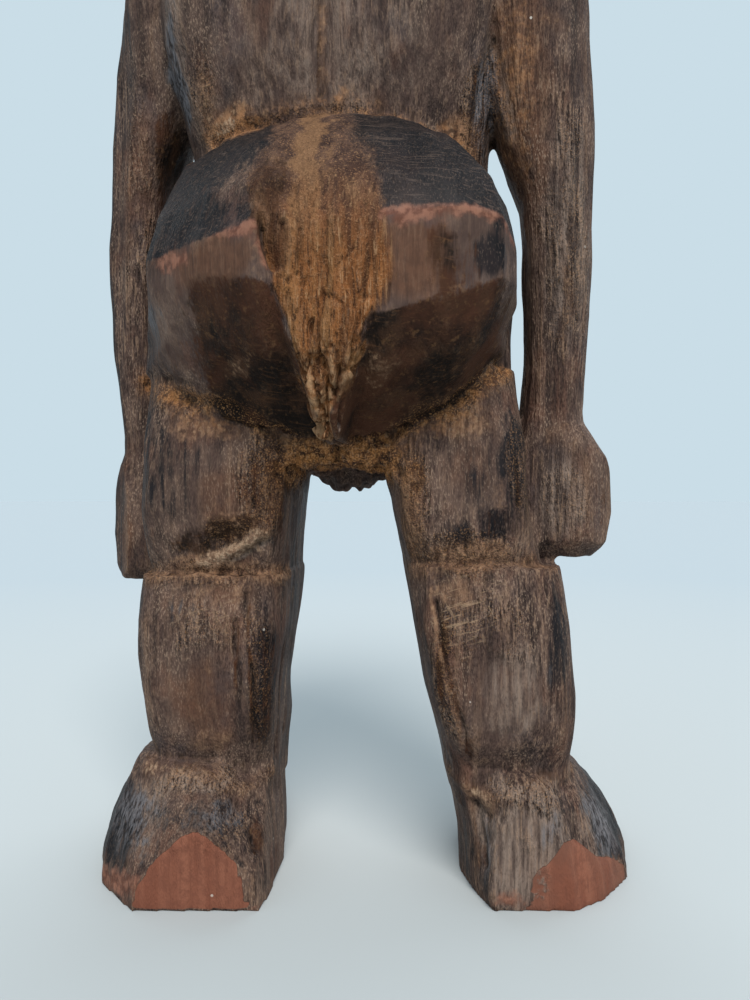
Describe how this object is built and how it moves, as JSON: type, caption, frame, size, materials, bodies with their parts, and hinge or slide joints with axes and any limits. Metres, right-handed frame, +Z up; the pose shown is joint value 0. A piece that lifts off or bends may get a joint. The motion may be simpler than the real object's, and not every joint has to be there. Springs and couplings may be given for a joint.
{
  "type": "lobi bateba figure",
  "caption": "Carved wooden standing figure with arms at its sides, a projecting shelf of buttocks, stepped calves and block feet; stands by itself on its soles.",
  "frame": {"origin": "on the ground, under the middle of the figure's overall box", "axes": "+Z up through the crown, the face looks towards -Y, and +X is the figure's own left side"},
  "size_m": [0.124, 0.0794, 0.3],
  "materials": {
    "wood": "matte, hand-adzed dense brown wood with a dark handled patina, ochre dust in the folds and reddish worn edges"
  },
  "bodies": {
    "root": {"figure": "wood"}
  },
  "joints": []
}
